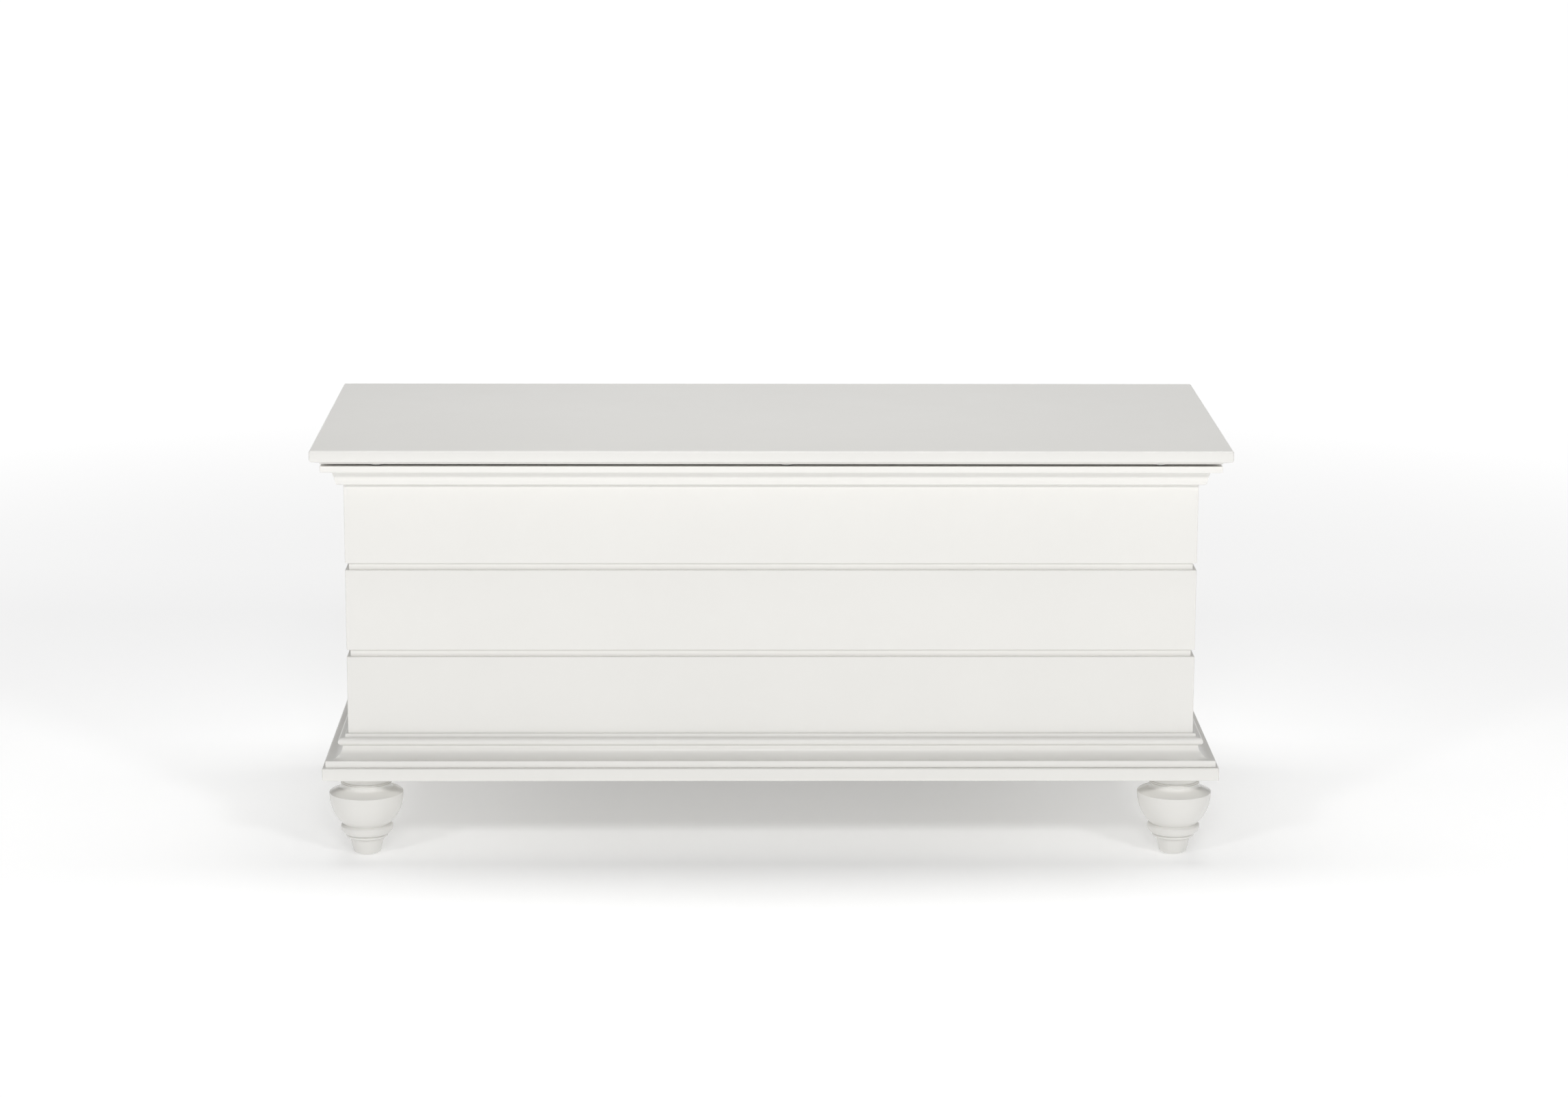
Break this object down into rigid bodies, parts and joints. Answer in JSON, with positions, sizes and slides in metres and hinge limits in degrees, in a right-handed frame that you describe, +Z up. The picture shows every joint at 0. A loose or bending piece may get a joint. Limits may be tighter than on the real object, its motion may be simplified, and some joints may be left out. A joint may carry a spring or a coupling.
{
  "type": "wooden toy box",
  "caption": "Low white chest with a flat hinged lid over one storage space, lapped board sides, a crown and a base moulding, and turned feet.",
  "frame": {"origin": "on the floor, under the middle of the chest's overall box", "axes": "+X to the right as seen from the front, +Y towards the back (the front faces -Y), +Z up"},
  "size_m": [1.12, 0.4904, 0.52],
  "materials": {
    "case_paint": "satin white paint",
    "moulding_paint": "satin white paint",
    "foot_paint": "satin white paint",
    "inside_paint": "satin white paint",
    "lid_paint": "satin white paint",
    "nickel": "satin nickel plate",
    "steel": "bright steel",
    "zinc_screws": "zinc plate",
    "brass": "machined",
    "acetal": "matte",
    "nylon": "matte",
    "clear_bumper": "clear, glossy"
  },
  "bodies": {
    "case": {"front_board_top": "case_paint", "front_board_middle": "case_paint", "front_board_bottom": "case_paint", "left_board_top": "case_paint", "left_board_middle": "case_paint", "left_board_bottom": "case_paint", "right_board_top": "case_paint", "right_board_middle": "case_paint", "right_board_bottom": "case_paint", "top_rail_front": "case_paint", "top_rail_left": "case_paint", "top_rail_right": "case_paint", "top_rail_back": "case_paint", "crown_front": "moulding_paint", "crown_left": "moulding_paint", "crown_right": "moulding_paint", "base_moulding_front": "moulding_paint", "base_moulding_left": "moulding_paint", "base_moulding_right": "moulding_paint", "base_board": "moulding_paint", "foot_front_left": "foot_paint", "foot_front_right": "foot_paint", "foot_back_left": "foot_paint", "foot_back_right": "foot_paint", "back_panel": "inside_paint", "hinge_rail": "inside_paint", "back_cleat": "inside_paint", "post_front_left": "inside_paint", "post_front_right": "inside_paint", "post_back_left": "inside_paint", "post_back_right": "inside_paint", "hinge_case_leaves": "nickel", "support_barrels": "nickel", "hinge_pins": "steel", "foot_bolts": "steel", "hinge_case_screws": "zinc_screws", "post_screws": "zinc_screws", "back_panel_screws": "zinc_screws", "base_screws": "zinc_screws", "foot_inserts": "brass", "support_sleeves": "acetal", "foot_glides": "nylon"},
    "lid": {"lid_panel": "lid_paint", "lid_bumpers": "clear_bumper", "hinge_lid_leaves": "nickel", "support_lid_leaves": "nickel", "support_shafts": "steel", "hinge_lid_screws": "zinc_screws"}
  },
  "joints": [
    {"name": "lid_hinge", "type": "hinge", "parent": "case", "child": "lid", "pos_m": [0, 0.2402, 0.5005], "axis": [-1, 0, 0], "range_deg": [0, 95]}
  ]
}
